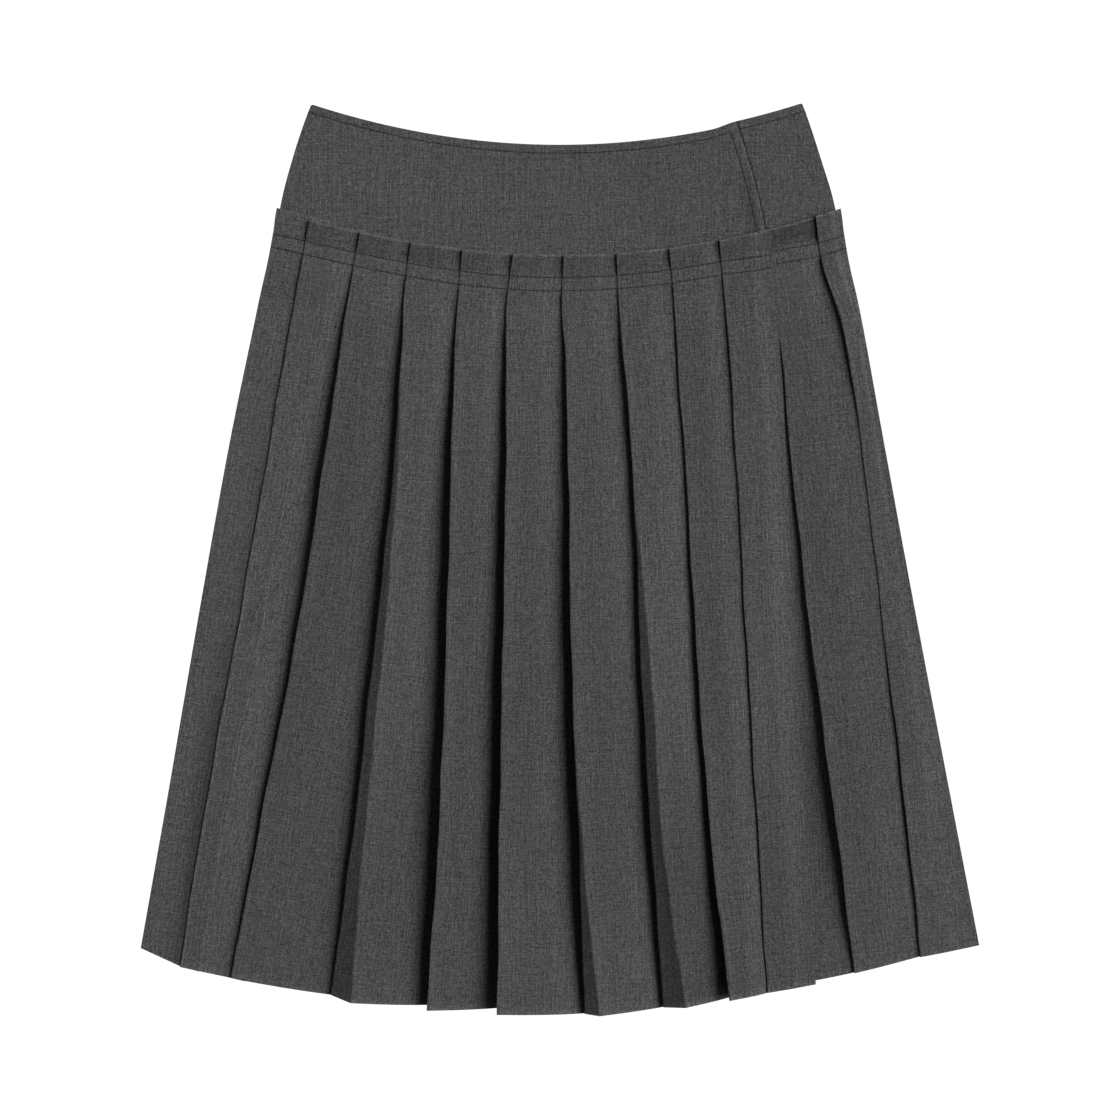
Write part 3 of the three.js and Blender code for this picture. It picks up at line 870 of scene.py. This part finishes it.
def columns_between(left, right, count):
    """Columns from one line to another: evenly apart, but closer beside both."""
    from_left = left + EDGE_COLUMNS
    from_right = right - EDGE_COLUMNS[::-1]
    return np.concatenate([from_left, blend(from_left[:, -1:], from_right[:, :1],
                                            np.linspace(0, 1, count)[None, 1:-1]), from_right], axis=1)


left_side, right_side = side_of_yoke("left side"), side_of_yoke("right side")
overlap_edge, underlap_edge = side_of_yoke("overlap edge"), side_of_yoke("underlap edge")
back_columns = columns_between(left_side, right_side, 90)
yoke_back, yoke_back_sheet = yoke("back_yoke", "yoke_back", back_columns, BACK_YOKE)

under_lap = columns_between(underlap_edge, overlap_edge, 24)
beside_lap = columns_between(overlap_edge, right_side, 24)
underlap_columns = np.concatenate([under_lap, beside_lap[:, 1:]], axis=1)
yoke_underlap, yoke_underlap_sheet = yoke("underlap_yoke", "yoke_underlap", underlap_columns, FRONT_YOKE,
                                          dent_at=overlap_edge)

stitched_column = overlap_edge - EDGE_STITCH + BESIDE_ROW
to_stitching = columns_between(left_side, stitched_column[:, :1], 100)[:, :-1]
overlap_columns = np.concatenate([to_stitching, stitched_column, overlap_edge - EDGE_COLUMNS[::-1]], axis=1)
yoke_overlap, yoke_overlap_sheet = yoke("overlap_yoke", "yoke_overlap", overlap_columns, FRONT_YOKE, CLIMBS,
                                        folded_edge=True)


# ---- The stitching ----------------------------------------------------------------------------------
# Machine stitching in matching dark thread. Two rows across each panel hold the folded heading of the pleats
# to the yoke, and one row runs along the waist and down the overlap's free edge.
STITCH = 2.2
STITCH_GAP = 0.55
THREAD = 0.33  # radius of the thread
THREAD_SUNK = 0.10  # how far below the cloth's face its middle lies
BACK_SUNK = 0.32  # and on the back, which rests on it
THREAD_COLOUR = (0.008, 0.008, 0.0085)
RINGS = (0, 0.18, 0.82, 1)  # where along a stitch its four rings lie
RING_SIZES = (0.35, 1, 1, 0.35)
SIDES_OF_THREAD = 6
ALONG_ROW = 0.5  # from point to point along a row of stitching
EDGE_ROW_SPAN = (0.055, 0.72)  # from and to which share of the yoke's height the edge's row runs
EDGE_ROW_POINTS = 160


def thread_material():
    """Matching thread, darker than the cloth, with a slight change of shade from stitch to stitch."""
    material = bpy.data.materials.new("thread")
    material.use_nodes = True
    tree = material.node_tree
    coordinates = Channel(tree, tree.nodes.new("ShaderNodeTexCoord").outputs["Object"])
    noise = coordinates.node("ShaderNodeTexNoise", {}, {"Vector": coordinates, "Scale": 400.0, "Detail": 1.0})
    shader = tree.nodes["Principled BSDF"]
    colour = noise.node("ShaderNodeVectorMath", {"operation": "SCALE"},
                        {0: THREAD_COLOUR, "Scale": 0.6 + noise * 0.8})
    tree.links.new(colour.socket, shader.inputs["Base Color"])
    bump = noise.node("ShaderNodeBump", {}, {"Strength": 0.4, "Distance": 0.0001, "Height": noise})
    tree.links.new(bump.socket, shader.inputs["Normal"])
    shader.inputs["Roughness"].default_value = 0.8
    shader.inputs["Specular IOR Level"].default_value = 0.15
    return material


thread = thread_material()


def heading_row(sheet, at, start, end):
    """A line across a pleated sheet at a level, on the topmost of its layers, from one X to another."""
    row = np.interp(at, PLEAT_ROWS, np.arange(len(PLEAT_ROWS)))
    above = int(row)
    line = blend(sheet[above], sheet[above + 1], row - above)
    x = np.arange(start, end, ALONG_ROW)[:, None]
    first, second = line[:-1], line[1:]
    step = second[:, 0] - first[:, 0]
    share = (x - first[:, 0]) / np.where(np.abs(step) < 1e-6, 1, step)
    covers = (share >= 0) & (share <= 1) & (np.abs(step) > 1e-6)
    z = np.where(covers, blend(first[:, 2], second[:, 2], share), -1)
    top = z.argmax(axis=1)
    return np.stack([x[:, 0], first[top, 1], z.max(axis=1) + CLOTH / 2], axis=1)


def on_yoke(sheet, rows, columns, side):
    """Points of a yoke's sheet at fractions of its rows and columns, brought to its upper or lower side."""
    row, column = rows.astype(int), columns.astype(int)
    down, across = (rows - row)[:, None], (columns - column)[:, None]
    above = blend(sheet[row, column], sheet[row, column + 1], across)
    below = blend(sheet[row + 1, column], sheet[row + 1, column + 1], across)
    return blend(above, below, down) + [0, 0, side * CLOTH / 2]


def waist_row(sheet, start, end, side):
    """A line along a yoke, a fixed way below its waist's edge, from one X to another."""
    x = np.arange(start, end, ALONG_ROW)
    row = np.searchsorted(YOKE_ROWS, WAIST_STITCH / YOKE_HEIGHT)
    columns = np.interp(x, sheet[row, :, 0], np.arange(sheet.shape[1]))
    return on_yoke(sheet, np.full(len(x), row), columns, side)


def edge_row(sheet, start, end):
    """A line down a yoke, a fixed way in from its right edge, between two fractions of its height."""
    rows = np.interp(np.linspace(start, end, EDGE_ROW_POINTS), YOKE_ROWS, np.arange(len(YOKE_ROWS)))
    column = sheet.shape[1] - 1 - len(EDGE_COLUMNS) - len(BESIDE_ROW) // 2
    return on_yoke(sheet, rows, np.full(EDGE_ROW_POINTS, column), 1)


def stitches(piece_name, lines, sunk_by):
    """Stitches along lines of points. Each is a tube of six sides whose two ends taper, set a little into
    the cloth: its four rings lie along it, and each ring is a circle across it."""
    starts, ends = [], []
    for line in lines:
        run = np.concatenate([[0], np.cumsum(np.linalg.norm(np.diff(line, axis=0), axis=1))])
        at = np.arange(STITCH, run[-1] - STITCH, STITCH + STITCH_GAP)
        for found, by in ((starts, -STITCH / 2), (ends, STITCH / 2)):
            found.append(np.stack([np.interp(at + by, run, line[:, axis]) for axis in range(3)], axis=1))
    start, end = np.concatenate(starts), np.concatenate(ends)
    length = end - start
    along = length / np.linalg.norm(length, axis=1, keepdims=True)
    beside = np.cross(along, [0, 0, 1])
    beside /= np.linalg.norm(beside, axis=1, keepdims=True)
    up = np.cross(beside, along)
    sunk = [0, 0, -sunk_by]
    place, radius = np.array(RINGS), THREAD * np.array(RING_SIZES)
    turn = np.arange(SIDES_OF_THREAD) * 2 * math.pi / SIDES_OF_THREAD
    ring = (np.cos(turn)[None, :, None] * beside[:, None, :] + np.sin(turn)[None, :, None] * up[:, None, :])
    points = ((start + sunk)[:, None, None, :] + length[:, None, None, :] * place[None, :, None, None]
              + ring[:, None, :, :] * radius[None, :, None, None])
    index = np.arange(len(start) * len(RINGS) * SIDES_OF_THREAD).reshape(-1, len(RINGS), SIDES_OF_THREAD)
    onward = np.roll(index, -1, axis=2)
    tube = np.stack([index[:, :-1], index[:, 1:], onward[:, 1:], onward[:, :-1]], axis=-1).reshape(-1, 4)
    first, last = index[:, 0], index[:, 3]
    caps = [first[:, [0, 1, 2, 3]], first[:, [0, 3, 4, 5]], last[:, [3, 2, 1, 0]], last[:, [5, 4, 3, 0]]]
    piece = mesh_piece(piece_name, points.reshape(-1, 3), np.concatenate([tube] + caps))
    piece.data.materials.append(thread)
    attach(piece, "root")
    return piece


def heading_span(sheet, at):
    """Where a heading starts and ends at a level, a little way in from its edges."""
    row = sheet[int(np.searchsorted(PLEAT_ROWS, at))]
    return row[0, 0] + 1, row[-1, 0] - 1


waist_left, waist_right = left_side[3, 0] + 1, right_side[3, 0] - 1
overlap_rows = [heading_row(overlap_sheet, at, *heading_span(overlap_sheet, at)) for at in STITCHED]
overlap_rows += [
    waist_row(yoke_overlap_sheet, waist_left, overlap_edge[5, 0] - EDGE_STITCH, 1),
    edge_row(yoke_overlap_sheet, *EDGE_ROW_SPAN),
]
stitches("overlap_stitches", overlap_rows, THREAD_SUNK)

underlap_rows = []
for at in STITCHED:
    past_overlap, underlap_end = heading_span(overlap_sheet, at)[1] + 2, heading_span(underlap_sheet, at)[1]
    underlap_rows.append(heading_row(underlap_sheet, at, past_overlap, underlap_end))
underlap_rows.append(waist_row(yoke_underlap_sheet, overlap_edge[3, 0] + 1.5, waist_right, 1))
stitches("underlap_stitches", underlap_rows, THREAD_SUNK)

back_rows = [
    turned_over(heading_row(back_sheet, at, *heading_span(back_sheet, at)), BACK_STACK) for at in STITCHED
]
back_rows.append(waist_row(yoke_back_sheet, waist_left, waist_right, -1))
stitches("back_stitches", back_rows, -BACK_SUNK)
